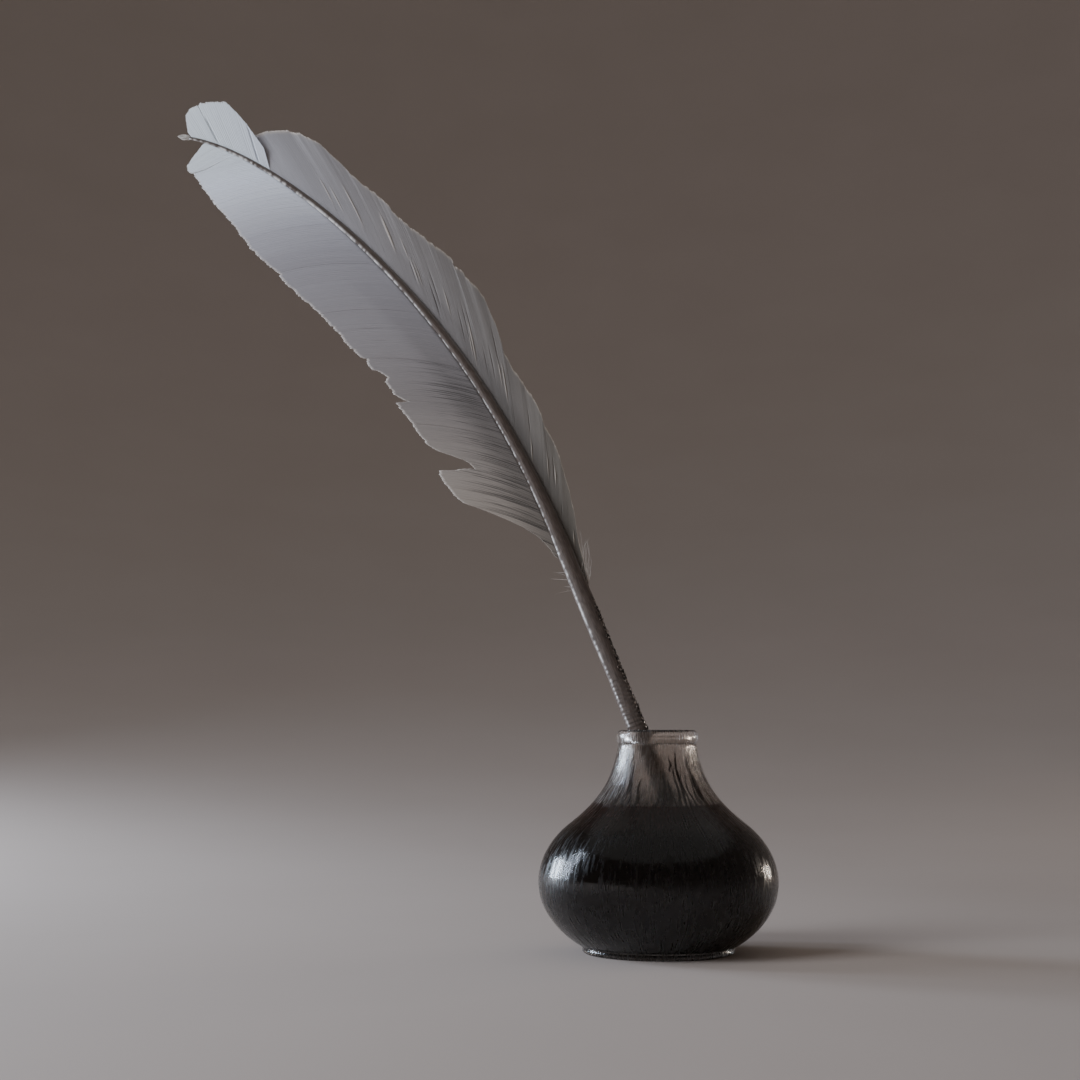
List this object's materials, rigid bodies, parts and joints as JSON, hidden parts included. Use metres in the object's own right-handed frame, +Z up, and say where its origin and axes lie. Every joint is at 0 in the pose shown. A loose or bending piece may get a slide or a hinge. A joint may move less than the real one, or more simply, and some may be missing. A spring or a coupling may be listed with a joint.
{
  "type": "quill pen in ink bottle",
  "caption": "Feather quill with a curved shaft and split vanes, standing in a round-bellied glass bottle of ink; it lifts out along its shaft and turns about it.",
  "frame": {"origin": "centre of the underside of the bottle's foot, on the surface that the bottle stands on", "axes": "+Z up; the quill leans in the XZ plane, its nib towards +X and its feather towards -X; -Y is the front of the feather"},
  "size_m": [0.1878, 0.0724, 0.2642],
  "materials": {
    "bottle_glass": "gloss",
    "ink": "gloss",
    "horn": "gloss",
    "pith": "matte",
    "web": "satin",
    "down": "matte"
  },
  "bodies": {
    "bottle": {"bottle_body": "bottle_glass", "lip_ring": "bottle_glass", "foot_disc": "bottle_glass", "ink": "ink"},
    "collar": {"ink_collar": "ink"},
    "quill": {"barrel": "horn", "barrel_membrane": "pith", "rachis": "horn", "pith": "pith", "tip_tuft": "down", "wide_web_base": "web", "wide_web_lower": "web", "wide_web_main": "web", "wide_web_tip": "web", "narrow_web_base": "web", "narrow_web_middle": "web", "narrow_web_upper": "web", "narrow_web_tip": "web", "stripped_edge": "down", "down_tuft_narrow": "down", "down_tuft_wide": "down"}
  },
  "joints": [
    {"name": "quill_lift", "type": "slide", "parent": "bottle", "child": "collar", "axis": [-0.3778, 0, 0.9259], "range_m": [0, 0.095]},
    {"name": "quill_twirl", "type": "hinge", "parent": "collar", "child": "quill", "pos_m": [0.0191, 0, 0.0059], "axis": [-0.3778, 0, 0.9259], "continuous": true}
  ]
}
